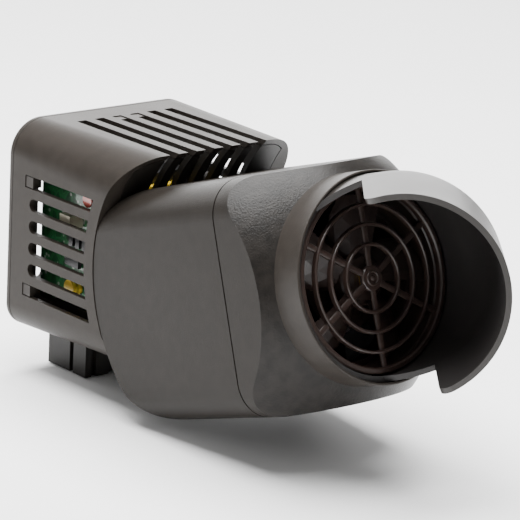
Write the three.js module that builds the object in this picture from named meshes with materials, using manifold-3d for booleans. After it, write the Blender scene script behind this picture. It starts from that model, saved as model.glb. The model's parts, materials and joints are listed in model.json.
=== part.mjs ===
// Wave maker pump: a vented electronics housing, a tilting pump head and a discharge hood that turns.
// Millimetres, +Z up. The nozzle points along -Y. x = 0 is the mirror plane of housing and head.
// The housing is drawn from the middle of its front lip, just under its top; ORIGIN_SHIFT moves the
// whole part so that its origin is the middle of the dock connector's underside.
import * as THREE from 'three';
import { mergeVertices } from 'three/addons/utils/BufferGeometryUtils.js';
import Module from 'manifold-3d';

const wasm = await Module();
wasm.setup();

// ---------- driving dimensions ----------
const GAP = 0.3;                    // between pieces that touch on the real object
const WALL = 2.2;                   // moulded wall thickness
const HALF_WIDTH = 40.8;            // housing and head are equally wide
const BOX = { rear: 68.5, top: 0.7, height: 76, topRadius: 16.5, bottomRadius: 12 };
// The box widens from y = 0 to its rear face, and its corners get sharper.
const FLARE = { side: 1, bottom: 2, topRadius: -3.5, bottomRadius: -2.5 };
const COVER_DEPTH = 3.2;            // visible thickness of the rear cover
const SCOOP_RADIUS = 56;            // concave front of the housing, about the tilt axle
const SCOOP_WALL = 2.4;
const SCOOP_HALF_WIDTH = 34;        // the scoop panel between the housing's cheeks
const PIVOT = { y: -39.2, z: -40 }; // tilt axle
const REST_TILT = 18;               // degrees that the nozzle points up in the modelled pose
const VENT = { count: 6, pitch: 8, width: 4, rear: 54.3 };
const REAR_VENT = { count: 8, pitch: 8, width: 4, top: -17, bottom: -61 };
const LOUVRE = { count: 6, pitch: 8.17, height: 4.67, firstZ: -19.9, rear: 55, latchRear: 57.9 };
const LOUVRE_FRONT_RADIUS = 61.2;   // the side louvres stop on this arc about the axle
const HEAD = { top: 40, bottom: -41.9, corner: 13.6, rearRadius: 55.6, topBlend: 21, bottomBlend: 25 };
const SEAM = 18.3;                  // head shell meets front cover, forward of the axle
const SEAM_LIP = 0.8;               // outer lip of the shell that hides the gasket
const SEAM_STEP = 1.5;
const DOME = { radius: 63.5, centre: -12 };
const COLLAR = { outer: 36.3, inner: 35.3, front: 52.4 };
const DUCT = { outer: 31.4, inner: 29.9, rear: 21, front: 46 };
const GUARD = { rear: 46.3, front: 48.8, rings: [11.5, 18.3, 25], outer: 32.4, hub: 4.4, spokes: 6 };
const HOOD = { outer: 35, inner: 33, rear: 41, ballCentre: 61.4, bend: 42.4, reach: 30.7, clock: 17 };
const DOCK = { halfWidth: 22.4, front: 43.4, rear: 66.6, bottom: -94.7 };
const ORIGIN_SHIFT = new THREE.Vector3(0, -(DOCK.front + DOCK.rear) / 2, -DOCK.bottom);
const ROUND = 48;                   // facets round the nozzle
const deg = THREE.MathUtils.degToRad;

// ---------- materials ----------
function plastic(color, roughness = 0.5) {
  return new THREE.MeshStandardMaterial({ color, roughness, metalness: 0 });
}
function metal(color, roughness = 0.35) {
  return new THREE.MeshStandardMaterial({ color, roughness, metalness: 1 });
}
const SHELL_GREY = 0x5f5c59;
const INNER_BLACK = 0x1c1614;

// ---------- solids ----------
// A closed three.js geometry becomes a manifold-3d solid with its faces pointing out.
function solid(geometry, matrix) {
  const bare = geometry.clone();
  bare.deleteAttribute('normal');
  bare.deleteAttribute('uv');
  if (matrix) bare.applyMatrix4(matrix);
  const merged = mergeVertices(bare, 1e-4);
  const points = merged.attributes.position.array;
  const corners = [];
  let sixVolumes = 0;
  for (let i = 0; i < merged.index.count; i += 3) {
    const [a, b, c] = [0, 1, 2].map((k) => merged.index.getX(i + k));
    if (a === b || b === c || a === c) continue;
    corners.push(a, b, c);
    const [p, q, r] = [a, b, c].map((n) => new THREE.Vector3().fromArray(points, 3 * n));
    sixVolumes += p.dot(q.cross(r));
  }
  if (sixVolumes < 0) corners.reverse();
  const mesh = new wasm.Mesh({
    numProp: 3,
    vertProperties: new Float32Array(points),
    triVerts: new Uint32Array(corners),
  });
  return new wasm.Manifold(mesh);
}

function unite(pieces) {
  return pieces.reduce((whole, piece) => whole.add(piece));
}

function cut(body, tools) {
  return tools.reduce((left, tool) => left.subtract(tool), body);
}

function moved(body, x, y, z) {
  return body.translate([x, y, z]);
}

// Prisms of a THREE.Shape: along Z; along X with the shape in (y, z).
function prismZ(shape, z0, z1, curveSegments = 12) {
  const block = new THREE.ExtrudeGeometry(shape, { depth: z1 - z0, bevelEnabled: false, curveSegments });
  return solid(block, new THREE.Matrix4().makeTranslation(0, 0, z0));
}

function prismX(shape, x0, x1, curveSegments = 12) {
  const block = new THREE.ExtrudeGeometry(shape, { depth: x1 - x0, bevelEnabled: false, curveSegments });
  const axes = [new THREE.Vector3(0, 1, 0), new THREE.Vector3(0, 0, 1), new THREE.Vector3(1, 0, 0)];
  return solid(block, new THREE.Matrix4().makeBasis(...axes).setPosition(x0, 0, 0));
}

function box(x0, x1, y0, y1, z0, z1) {
  const block = new THREE.BoxGeometry(x1 - x0, y1 - y0, z1 - z0);
  block.translate((x0 + x1) / 2, (y0 + y1) / 2, (z0 + z1) / 2);
  return solid(block);
}

// A round bar along one axis, from a to b, through the point given by the other two coordinates.
function bar(axis, radius, a, b, u = 0, v = 0, segments = 24) {
  const rod = new THREE.CylinderGeometry(radius, radius, b - a, segments);
  const middle = (a + b) / 2;
  if (axis === 'x') rod.rotateZ(Math.PI / 2).translate(middle, u, v);
  if (axis === 'y') rod.translate(u, middle, v);
  if (axis === 'z') rod.rotateX(Math.PI / 2).translate(u, v, middle);
  return solid(rod);
}

// A ring or disc turned about Z: profile points are [radius, z].
function turned(profile, segments = ROUND) {
  const closed = [...profile, profile[0]];
  const ring = new THREE.LatheGeometry(closed.map(([r, z]) => new THREE.Vector2(r, z)), segments);
  return solid(ring, new THREE.Matrix4().makeRotationX(Math.PI / 2));
}

function tube(inner, outer, z0, z1, segments = ROUND) {
  return turned([[inner, z0], [outer, z0], [outer, z1], [inner, z1]], segments);
}

function aroundZ(piece, count, startDegrees = 0) {
  return Array.from({ length: count }, (_, i) => piece.rotate([0, 0, startDegrees + (360 / count) * i]));
}

function roundedRect(left, right, bottom, top, bottomRadius, topRadius) {
  const shape = new THREE.Shape();
  shape.moveTo(left + bottomRadius, bottom);
  shape.lineTo(right - bottomRadius, bottom);
  shape.absarc(right - bottomRadius, bottom + bottomRadius, bottomRadius, -Math.PI / 2, 0);
  shape.lineTo(right, top - topRadius);
  shape.absarc(right - topRadius, top - topRadius, topRadius, 0, Math.PI / 2);
  shape.lineTo(left + topRadius, top);
  shape.absarc(left + topRadius, top - topRadius, topRadius, Math.PI / 2, Math.PI);
  shape.lineTo(left, bottom + bottomRadius);
  shape.absarc(left + bottomRadius, bottom + bottomRadius, bottomRadius, Math.PI, 1.5 * Math.PI);
  return shape;
}

// The housing's outline at y, as [x, z] points with the corners in short straight steps.
function boxOutline(inset, y) {
  const steps = 11;
  const t = y / BOX.rear;
  const half = HALF_WIDTH + FLARE.side * t - inset;
  const top = BOX.top - inset;
  const bottom = inset - BOX.height - FLARE.bottom * t;
  const upper = BOX.topRadius + FLARE.topRadius * t - inset;
  const lower = BOX.bottomRadius + FLARE.bottomRadius * t - inset;
  const corners = [
    [half - lower, bottom + lower, lower, -90],
    [half - upper, top - upper, upper, 0],
    [upper - half, top - upper, upper, 90],
    [lower - half, bottom + lower, lower, 180],
  ];
  return corners.flatMap(([x, z, radius, start]) => Array.from({ length: steps + 1 }, (_, i) => {
    const angle = deg(start + (90 * i) / steps);
    return [x + radius * Math.cos(angle), z + radius * Math.sin(angle)];
  }));
}

// The solid within the housing's outlines from y0 to y1.
function boxBlock(inset, y0, y1) {
  const [front, rear] = [y0, y1].map((y) => boxOutline(inset, y).map(([x, z]) => [x, y, z]));
  const count = front.length;
  const faces = [];
  for (let i = 0; i < count; i += 1) {
    const next = (i + 1) % count;
    faces.push(i, next, count + next, i, count + next, count + i);
  }
  for (let i = 1; i < count - 1; i += 1) faces.push(0, i + 1, i, count, count + i, count + i + 1);
  const block = new THREE.BufferGeometry();
  block.setAttribute('position', new THREE.Float32BufferAttribute([...front, ...rear].flat(), 3));
  block.setIndex(faces);
  return solid(block);
}

// Everything closer to the tilt axle than radius, in the housing's frame.
function pivotCylinder(radius, halfWidth = 50, segments = 72) {
  return bar('x', radius, -halfWidth, halfWidth, PIVOT.y, PIVOT.z, segments);
}

function ventXs() {
  return Array.from({ length: VENT.count }, (_, i) => (i - (VENT.count - 1) / 2) * VENT.pitch);
}

function louvreZs() {
  return Array.from({ length: LOUVRE.count }, (_, i) => LOUVRE.firstZ - i * LOUVRE.pitch);
}

// ---------- housing ----------
function louvreCutters() {
  const half = LOUVRE.height / 2;
  const frontArc = pivotCylinder(LOUVRE_FRONT_RADIUS);
  return louvreZs().map((z, i) => {
    const latched = i === 0 || i === LOUVRE.count - 1;
    if (latched) return box(-50, 50, 0, LOUVRE.latchRear, z - half, z + half).subtract(frontArc);
    const straight = box(-50, 50, 0, LOUVRE.rear - half, z - half, z + half);
    const roundEnd = bar('x', half, -50, 50, LOUVRE.rear - half, z, 12);
    return straight.add(roundEnd).subtract(frontArc);
  });
}

function ventCutters(y0, y1, z0, z1) {
  return ventXs().map((x) => box(x - VENT.width / 2, x + VENT.width / 2, y0, y1, z0, z1));
}

function dockScrewPlaces() {
  return [[-17, 58], [17, 58]];
}

function ventedHousing() {
  const rear = BOX.rear - COVER_DEPTH;
  const outer = boxBlock(0, -20, rear).subtract(pivotCylinder(SCOOP_RADIUS));
  const cavity = boxBlock(WALL, -20, rear + 1);
  const behindScoop = cavity.subtract(pivotCylinder(SCOOP_RADIUS + SCOOP_WALL));
  const window = cavity.intersect(box(-SCOOP_HALF_WIDTH, SCOOP_HALF_WIDTH, -30, 30, -90, 10));
  const screwHoles = dockScrewPlaces().map(([x, y]) => bar('z', 1.6, -80, -70, x, y, 8));
  return cut(outer, [
    behindScoop, window, ...ventCutters(-10, VENT.rear, -6, 6), ...louvreCutters(), ...screwHoles,
  ]);
}

const BRACKET = { halfWidth: 11.5, armInner: 7, halfHeight: 6, thickness: 2.4, eye: 7.5 };

function bracketScrewPlaces() {
  return [[-4.8, PIVOT.z + 4.1], [4.8, PIVOT.z - 4.1]];
}

function scoopPanel() {
  const half = SCOOP_HALF_WIDTH - GAP;
  const inside = boxBlock(WALL + GAP, -20, 40);
  const ring = pivotCylinder(SCOOP_RADIUS + SCOOP_WALL, half).subtract(pivotCylinder(SCOOP_RADIUS));
  const ventFoot = PIVOT.z + SCOOP_RADIUS * Math.sin(deg(14));
  const leadHole = box(-3.5, 3.5, 0, 30, PIVOT.z - 2.6, PIVOT.z + 2.6);
  const screwHoles = bracketScrewPlaces().map(([x, z]) => bar('y', 1.2, 10, 25, x, z, 8));
  const front = ring.intersect(inside).intersect(box(-half, half, -10, 40, -80, 5));
  return cut(front, [...ventCutters(-10, 40, ventFoot, 5), leadHole, ...screwHoles]);
}

function rearCover() {
  const front = BOX.rear - COVER_DEPTH + GAP;
  const softness = 1.4;
  const outline = boxOutline(0, BOX.rear).map(([x, z]) => new THREE.Vector2(x, z));
  const plate = new THREE.ExtrudeGeometry(new THREE.Shape(outline), {
    depth: 8, bevelSize: softness, bevelOffset: -softness,
    bevelThickness: softness, bevelSegments: 2,
  });
  const turn = new THREE.Matrix4().makeRotationX(Math.PI / 2).setPosition(0, BOX.rear - softness, 0);
  const lid = solid(plate, turn).intersect(box(-60, 60, front, BOX.rear + 1, -90, 10));
  const skirtOuter = boxBlock(WALL + GAP, 61, front + 1);
  const skirt = skirtOuter.subtract(boxBlock(WALL + GAP + 1.6, 60, front + 0.5));
  return unite([lid, skirt, ...sideLatches(), ...topLatches()]).subtract(unite(rearVents()));
}

// Upright slots with round ends in the rear cover.
function rearVents() {
  const { count, pitch, width, top, bottom } = REAR_VENT;
  return Array.from({ length: count }, (_, i) => {
    const x = (i - (count - 1) / 2) * pitch;
    const straight = box(x - width / 2, x + width / 2, 60, 80, bottom + width / 2, top - width / 2);
    const ends = [top - width / 2, bottom + width / 2].map((z) => bar('y', width / 2, 60, 80, x, z, 12));
    return unite([straight, ...ends]);
  });
}

function sideLatches() {
  const outside = HALF_WIDTH + (FLARE.side * LOUVRE.rear) / BOX.rear;
  const wallInside = outside - WALL - GAP;
  const zs = louvreZs();
  const latches = [];
  for (const z of [zs[0], zs[zs.length - 1]]) {
    for (const side of [-1, 1]) {
      const arm = box(-0.7, 0.7, 53.4, 62, z - 2, z + 2);
      const pad = box(-1.6, 1.6, 53.4, LOUVRE.latchRear - GAP, z - 2, z + 2);
      latches.push(moved(arm, side * (wallInside - 0.7), 0, 0));
      latches.push(moved(pad, side * (outside - 1.8), 0, 0));
    }
  }
  return latches;
}

function topLatches() {
  const [left, right] = ventXs().slice(2, 4);
  return [left, right].flatMap((x) => [
    box(x - 1.6, x + 1.6, 50, 62, BOX.top - WALL - GAP - 1.5, BOX.top - WALL - GAP - 0.1),
    box(x - 1.6, x + 1.6, 50, VENT.rear - GAP, BOX.top - WALL - GAP - 1.5, BOX.top - 0.3),
  ]);
}

function dockConnector() {
  const { halfWidth, front, rear, bottom } = DOCK;
  const top = -BOX.height + 1;
  const block = box(-halfWidth, halfWidth, front, rear, bottom, top);
  const body = block.subtract(boxBlock(-GAP, -20, 80));
  const grooves = [];
  for (const side of [-1, 1]) {
    grooves.push(box(side * halfWidth - 1.6, side * halfWidth + 1.6, 51, 53.2, bottom - 1, top + 1));
    grooves.push(box(side * 18.5 - 1, side * 18.5 + 1, front - 1, front + 1.4, bottom - 1, top + 1));
    grooves.push(box(side * 10.5 - 1, side * 10.5 + 1, front - 1, front + 1.4, bottom - 1, top + 1));
  }
  const step = box(-9.5, 9.5, front - 1, front + 2, bottom - 1, bottom + 3);
  const sockets = contactXs().map((x) => box(x - 1.6, x + 1.6, 49, 61, bottom - 1, bottom + 9));
  const screwHoles = dockScrewPlaces().map(([x, y]) => bar('z', 1.6, -84, top + 1, x, y, 8));
  return cut(body, [...grooves, step, ...sockets, ...screwHoles]);
}

function contactXs() {
  return [-14, -7, 7, 14];
}

function contactBlade(x) {
  const top = DOCK.bottom + 9 - GAP;
  const blade = box(x - 0.5, x + 0.5, 51.5, 58.5, DOCK.bottom + 2, top);
  return blade.add(box(x - 1.1, x + 1.1, 50, 60, top - 1, top));
}

function capScrew(headRadius, headHeight, shankRadius, length) {
  return bar('z', headRadius, 0, headHeight, 0, 0, 12).add(bar('z', shankRadius, -length, 0.5, 0, 0, 8));
}

function dockScrew([x, y]) {
  const floor = WALL - BOX.height - (FLARE.bottom * y) / BOX.rear;
  return moved(capScrew(2.8, 1.6, 1.2, 8), x, y, floor + GAP);
}

// ---------- electronics ----------
const BOARD = { face: -29.6, thickness: 1.6, rear: 61, top: -10, bottom: -66, frontRadius: 60.5 };

function controlBoard() {
  const { face, thickness, rear, top, bottom, frontRadius } = BOARD;
  const blank = box(face - thickness, face, 0, rear, bottom, top);
  return blank.subtract(pivotCylinder(frontRadius));
}

function boardGuide(z0, z1) {
  const { face, thickness, top, bottom } = BOARD;
  const block = box(face - thickness - 2.2, face + 2.2, 24, 50, z0, z1);
  const inHousing = block.intersect(boxBlock(WALL + GAP, 0, 60));
  return inHousing.subtract(box(face - thickness - GAP, face + GAP, 20, 60, bottom - 1.5, top + 1.5));
}

function onBoard(x0, x1, y0, y1, z0, z1) {
  const start = BOARD.face + GAP;
  return box(start + x0, start + x1, y0, y1, z0, z1);
}

// The laminated frame stands in the x-z plane, with the coil round its middle leg.
function transformer() {
  const frame = onBoard(1.5, 37.1, 26, 36, -36, -14);
  const windows = [[6.5, 14.3], [24.3, 32.1]].map(([x0, x1]) => onBoard(x0, x1, 25, 37, -32.5, -17.5));
  return cut(frame, windows);
}

function transformerTape() {
  const block = onBoard(6.8, 31.8, 22.5, 39.5, -32.2, -17.8);
  return block.subtract(onBoard(14, 24.6, 25.7, 36.3, -40, -10));
}

function bulkCapacitor(y, z) {
  const start = BOARD.face + GAP;
  const base = [[0, 0], [5.4, 0], [6, 0.6], [6, 1.6], [5.6, 2.1], [6, 2.6]];
  const can = turned([...base, [6, 23.4], [5.4, 24], [0, 24]], 20);
  return moved(can.rotate([0, 90, 0]), start, y, z);
}

function filterChoke() {
  const lower = [[2.8, 0.8], [3.6, 0], [6, 0], [6.8, 0.8]];
  const ring = turned([...lower, [6.8, 7.2], [6, 8], [3.6, 8], [2.8, 7.2]], 20);
  return moved(ring.rotate([0, 90, 0]), BOARD.face + GAP, 26.6, -52.5);
}

function heatSink() {
  const base = box(-17.6, 30, 22, 52, -72, -70);
  const finAt = (x) => box(x, x + 1.6, 22, 52, -70.5, -64.4);
  const fins = Array.from({ length: 8 }, (_, i) => finAt(-16 + i * 6.2));
  return unite([base, ...fins]);
}

function powerTransistor(y) {
  const tab = box(-21.5, -20, y, y + 10, -72, -61.5).subtract(bar('x', 1.2, -24, -19, y + 5, -63.4, 12));
  return tab.add(box(-21.5, -18.1, y, y + 10, -72, -66));
}

function filmCapacitor() {
  const outer = BOARD.face - BOARD.thickness - GAP;
  return box(outer - 6, outer, 35.8, 42, -33.4, -28.6);
}

function discCapacitor() {
  const outer = BOARD.face - BOARD.thickness - GAP;
  return bar('x', 3, outer - 4.2, outer, 37.5, -56, 20);
}

function varistor() {
  const outer = BOARD.face - BOARD.thickness - GAP;
  return bar('x', 2.6, outer - 6.4, outer, 25.5, -20, 16);
}

function resistorNetwork() {
  const outer = BOARD.face - BOARD.thickness - GAP;
  const base = box(outer - 0.8, outer, 26, 41.6, -40.4, -36.4);
  const chips = [26.6, 30.6, 34.6, 38.6].map((y) => box(outer - 2.4, outer - 0.4, y, y + 2.4, -41, -35.8));
  return unite([base, ...chips]);
}

function driverChip() {
  const outer = BOARD.face - BOARD.thickness - GAP;
  return box(outer - 1.5, outer, 36, 44, -49, -43.4);
}

function boardHeader() {
  const shroud = onBoard(0, 7, 23.5, 31.5, -44, -36);
  return shroud.subtract(onBoard(1.2, 8, 24.7, 30.3, -42.8, -37.2));
}

function motorLeads() {
  const points = [[-26.5, 27.5], [-16, 27.5], [-8, 27.5], [-2, 27], [0, 22], [0, 12], [0, 0], [0, -14]];
  const path = new THREE.CatmullRomCurve3(points.map(([x, y]) => new THREE.Vector3(x, y, PIVOT.z)));
  const section = new THREE.Shape().absarc(0, 0, 2, 0, 2 * Math.PI);
  return solid(new THREE.ExtrudeGeometry(section, { extrudePath: path, steps: 24, curveSegments: 4 }));
}

// ---------- tilt joint ----------
function tiltBracket() {
  const { halfWidth, armInner, halfHeight, thickness, eye } = BRACKET;
  const outerRadius = SCOOP_RADIUS - GAP;
  const reach = PIVOT.y + outerRadius + 1;
  const slab = box(-halfWidth, halfWidth, 0, reach, PIVOT.z - halfHeight, PIVOT.z + halfHeight);
  const base = slab.intersect(pivotCylinder(outerRadius)).subtract(pivotCylinder(outerRadius - thickness));
  const arms = [-1, 1].flatMap((side) => {
    const [x0, x1] = [side * armInner, side * halfWidth].sort((a, b) => a - b);
    const plate = box(x0, x1, PIVOT.y, reach, PIVOT.z - halfHeight, PIVOT.z + halfHeight);
    return [plate.intersect(pivotCylinder(outerRadius - 1)), bar('x', eye, x0, x1, PIVOT.y, PIVOT.z, 24)];
  });
  const axleHole = bar('x', 3 + GAP, -20, 20, PIVOT.y, PIVOT.z, 16);
  const leadHole = box(-3.5, 3.5, 0, 30, PIVOT.z - 2.6, PIVOT.z + 2.6);
  const screwHoles = bracketScrewPlaces().map(([x, z]) => bar('y', 1.2, 8, 25, x, z, 8));
  return cut(unite([base, ...arms]), [axleHole, leadHole, ...screwHoles]);
}

function bracketScrew([x, z]) {
  const headFace = PIVOT.y + SCOOP_RADIUS - GAP - BRACKET.thickness - 2 * GAP;
  return moved(capScrew(1.7, 1.4, 0.9, 7).rotate([90, 0, 0]), x, headFace, z);
}

function tiltAxle() {
  const rod = bar('x', 3, -20, 18.6, PIVOT.y, PIVOT.z, 16);
  const head = bar('x', 5, -20.6, -17, PIVOT.y, PIVOT.z, 16);
  return rod.add(head);
}

function axleNut() {
  const nut = bar('x', 5.2, 17, 20, PIVOT.y, PIVOT.z, 6);
  return nut.subtract(bar('x', 3 + GAP, 16, 21, PIVOT.y, PIVOT.z, 16));
}

function frictionWasher(side) {
  const [x0, x1] = [side * (BRACKET.halfWidth + GAP), side * 13.2].sort((a, b) => a - b);
  const disc = bar('x', 7, x0, x1, PIVOT.y, PIVOT.z, 24);
  return disc.subtract(bar('x', 3 + GAP, x0 - 1, x1 + 1, PIVOT.y, PIVOT.z, 16));
}

// ---------- pump head ----------
// Head pieces are drawn in the head's frame: X as in the housing, Y up, Z forward along the
// nozzle axis, origin on the tilt axle.
function headSection(inset) {
  const half = HALF_WIDTH - inset;
  const radius = HEAD.corner - inset;
  return roundedRect(-half, half, HEAD.bottom + inset, HEAD.top - inset, radius, radius);
}

// Side outline of the shell: flat top and bottom, blended into a round back about the axle.
function headProfile(inset) {
  const radius = HEAD.rearRadius - inset;
  const edges = [
    { height: HEAD.top - inset, blend: HEAD.topBlend - inset },
    { height: -HEAD.bottom - inset, blend: HEAD.bottomBlend - inset },
  ];
  const [upper, lower] = edges.map(({ height, blend }) => {
    const up = height - blend;
    const back = Math.sqrt((radius - blend) ** 2 - up ** 2);
    return { up, back, blend, height, angle: Math.atan2(-back, up) };
  });
  const shape = new THREE.Shape();
  shape.moveTo(-lower.height, 90);
  shape.lineTo(-lower.height, -lower.back);
  const lowerAngle = -Math.PI - lower.angle;
  shape.absarc(-lower.up, -lower.back, lower.blend, -Math.PI, lowerAngle, false);
  shape.absarc(0, 0, radius, lowerAngle, upper.angle, false);
  shape.absarc(upper.up, -upper.back, upper.blend, upper.angle, 0, false);
  shape.lineTo(upper.height, 90);
  return shape;
}

function headBlock(inset, front) {
  const sides = prismZ(headSection(inset), -70, front, 4);
  return sides.intersect(prismX(headProfile(inset), -60, 60, 6));
}

const POST = { x: 33, upper: 32.4, lower: -34.5, radius: 3.4 };
const RIB = { inner: 13.5, outer: 16.5, rear: -9, front: 8.5 };

function coverPostPlaces() {
  return [-POST.x, POST.x].flatMap((x) => [POST.lower, POST.upper].map((y) => [x, y]));
}

// A wedge of the head's back, between two angles measured up from straight back.
function backSector(x0, x1, lowDegrees, highDegrees) {
  const far = 80;
  const corner = (angle) => [far * Math.sin(deg(angle)), -far * Math.cos(deg(angle))];
  const shape = new THREE.Shape();
  shape.moveTo(0, 0);
  shape.lineTo(...corner(lowDegrees));
  shape.lineTo(...corner((lowDegrees + highDegrees) / 2));
  shape.lineTo(...corner(highDegrees));
  return prismX(shape, x0, x1).subtract(bar('x', 44, -50, 50, 0, 0, 36));
}

function headShell() {
  const shell = headBlock(0, SEAM).subtract(headBlock(WALL, SEAM + 1));
  const ribs = [-1, 1].map((side) => {
    const [x0, x1] = [side * RIB.inner, side * RIB.outer].sort((a, b) => a - b);
    return box(x0, x1, HEAD.bottom + 1, HEAD.top - 1, RIB.rear, RIB.front);
  });
  const posts = coverPostPlaces().map(([x, y]) => bar('z', POST.radius, 2, SEAM - 2, x, y, 10));
  const bores = coverPostPlaces().flatMap(([x, y]) => [
    bar('z', 1.5, -10, SEAM + 1, x, y, 8), bar('z', 2.9, -60, -20, x, y, 12),
  ]);
  const bracketSlot = backSector(-12.4, 12.4, -28, 38);
  const intakes = [-1, 1].flatMap((side) => [17.5, 24, 30.5].map((x) => {
    const [x0, x1] = [side * x, side * (x + 3.4)].sort((a, b) => a - b);
    return backSector(x0, x1, -21, 21);
  }));
  const axleHole = bar('x', 3 + GAP, -20, 20, 0, 0, 16);
  const gasketStep = prismZ(headSection(SEAM_LIP), SEAM - SEAM_STEP, SEAM + 1, 4);
  const body = unite([shell, ...ribs, ...posts]);
  return cut(body, [...bores, bracketSlot, ...intakes, axleHole, gasketStep]);
}

// The solid under the front cover's domed face.
function domeSolid(inset) {
  const { radius, centre } = DOME;
  const steps = 5;
  const [narrow, widest] = [deg(28), deg(58)];
  const profile = [[0, 0], [(radius - inset) * Math.sin(widest), 0]];
  for (let i = steps; i >= 0; i -= 1) {
    const angle = narrow + ((widest - narrow) * i) / steps;
    profile.push([(radius - inset) * Math.sin(angle), centre + (radius - inset) * Math.cos(angle)]);
  }
  profile.push([0, centre + (radius - inset) * Math.cos(narrow)]);
  return turned(profile);
}

function frontCover() {
  const front = 70;
  const skin = prismZ(headSection(0), SEAM + GAP, front, 4).intersect(domeSolid(0));
  const hollow = prismZ(headSection(WALL), SEAM - 1, front, 4).intersect(domeSolid(WALL));
  const opening = bar('z', 34, 20, 60, 0, 0, ROUND);
  const collar = tube(COLLAR.inner, COLLAR.outer, 38, COLLAR.front);
  const shelf = tube(33.4, COLLAR.outer, 38.4, 40.6);
  const wellBore = bar('z', COLLAR.inner, 40.6, 70, 0, 0, ROUND);
  const posts = coverPostPlaces().map(([x, y]) => bar('z', POST.radius, SEAM + 1.4, 31, x, y, 10));
  const heldPosts = unite(posts).intersect(domeSolid(WALL / 2));
  const bores = coverPostPlaces().map(([x, y]) => bar('z', 1.5, SEAM, 27, x, y, 8));
  const shell = skin.subtract(hollow).subtract(opening);
  return cut(unite([shell, collar, shelf, heldPosts]), [...bores, wellBore]);
}

function coverGasket() {
  const outer = prismZ(headSection(SEAM_LIP + GAP), SEAM - SEAM_STEP + GAP, SEAM, 4);
  return outer.subtract(prismZ(headSection(WALL + 0.2), SEAM - 3, SEAM + 3, 4));
}

function coverScrew([x, y]) {
  return moved(capScrew(2.6, 1.8, 1.1, 25).rotate([180, 0, 0]), x, y, 1.6);
}

function flowDuct() {
  const { outer, inner, rear, front } = DUCT;
  const flange = [[inner, rear], [36.2, rear], [36.2, rear + 2], [outer, rear + 2]];
  return turned([...flange, [outer, front], [inner, front]]);
}

function guardGrille() {
  const { rear, front, rings, outer, hub, spokes } = GUARD;
  const half = 0.55;
  const bars = rings.map((r, i) => tube(r - half, r + half, rear, front - 0.4, 24 + 6 * i));
  const rim = tube(outer - 2.2, outer, rear, front);
  const spoke = box(-1.1, 1.1, 2, outer - 1, rear, front - 0.4);
  const side = [[0, rear], [hub, rear], [hub, front - 1.5]];
  const boss = turned([...side, [hub - 0.8, front - 0.9], [0, front - 0.7]], 18);
  return unite([rim, boss, ...bars, ...aroundZ(spoke, spokes, 0)]);
}

// ---------- motor and propeller ----------
function motorMount() {
  const disc = tube(4.9, 17, 30.6, 32.6, 32);
  const outerRing = tube(28.2, DUCT.inner - GAP, 29.6, 32.6, 36);
  const arm = box(-1.6, 1.6, 16, 28.6, 30.6, 32.6);
  const bearingSeat = tube(4.9, 6.4, 28.2, 31, 24);
  const holes = motorScrewPlaces().map(([x, y]) => bar('z', 1.1, 30, 33, x, y, 8));
  return cut(unite([disc, outerRing, bearingSeat, ...aroundZ(arm, 5)]), holes);
}

function motorScrewPlaces() {
  return [0, 120, 240].map((a) => [15.9 * Math.cos(deg(a + 20)), 15.9 * Math.sin(deg(a + 20))]);
}

function motorScrew([x, y]) {
  return moved(capScrew(1.8, 1, 0.8, 6), x, y, 32.6 + GAP);
}

function motorCan() {
  const can = turned([
    [4.9, 12], [6.6, 12], [6.6, 12.6], [15.8, 12.6], [17, 13.8], [17, 30.3], [14.8, 30.3], [14.8, 14.4],
    [6.6, 14.4], [6.6, 16], [4.9, 16],
  ], 32);
  return cut(can, motorScrewPlaces().map(([x, y]) => bar('z', 1.1, 24, 31, x, y, 8)));
}

function statorCore() {
  const yoke = tube(12.4, 14.5, 17.5, 26.5, 30);
  const tooth = box(-1.5, 1.5, 8.9, 13, 17.5, 26.5);
  const shoe = tube(8.9, 9.9, 17.5, 26.5, 30);
  const shoeGap = box(-0.8, 0.8, 8, 10.4, 17, 27);
  return cut(unite([yoke, shoe, ...aroundZ(tooth, 6)]), aroundZ(shoeGap, 6, 30));
}

function statorWindings() {
  const coil = box(-2.8, 2.8, 10.2, 11.9, 16, 28).subtract(box(-1.8, 1.8, 10, 13, 17.2, 26.8));
  const bridge = tube(10.3, 11.9, 15.4, 16.6, 30);
  return unite([bridge, ...aroundZ(coil, 6)]);
}

function bearing(z0, z1) {
  return turned([
    [2.3, z0], [3.2, z0], [3.3, z0 + 0.3], [3.9, z0 + 0.3], [4, z0], [4.6, z0],
    [4.6, z1], [2.3, z1],
  ], 20);
}

function rotorMagnet() {
  return tube(2.3, 8.4, 18, 26, 28);
}

function rotorShaft() {
  return turned([[0, 10.8], [1.6, 10.8], [2, 11.2], [2, 45.5], [1.6, 45.9], [0, 45.9]], 20);
}

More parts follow.
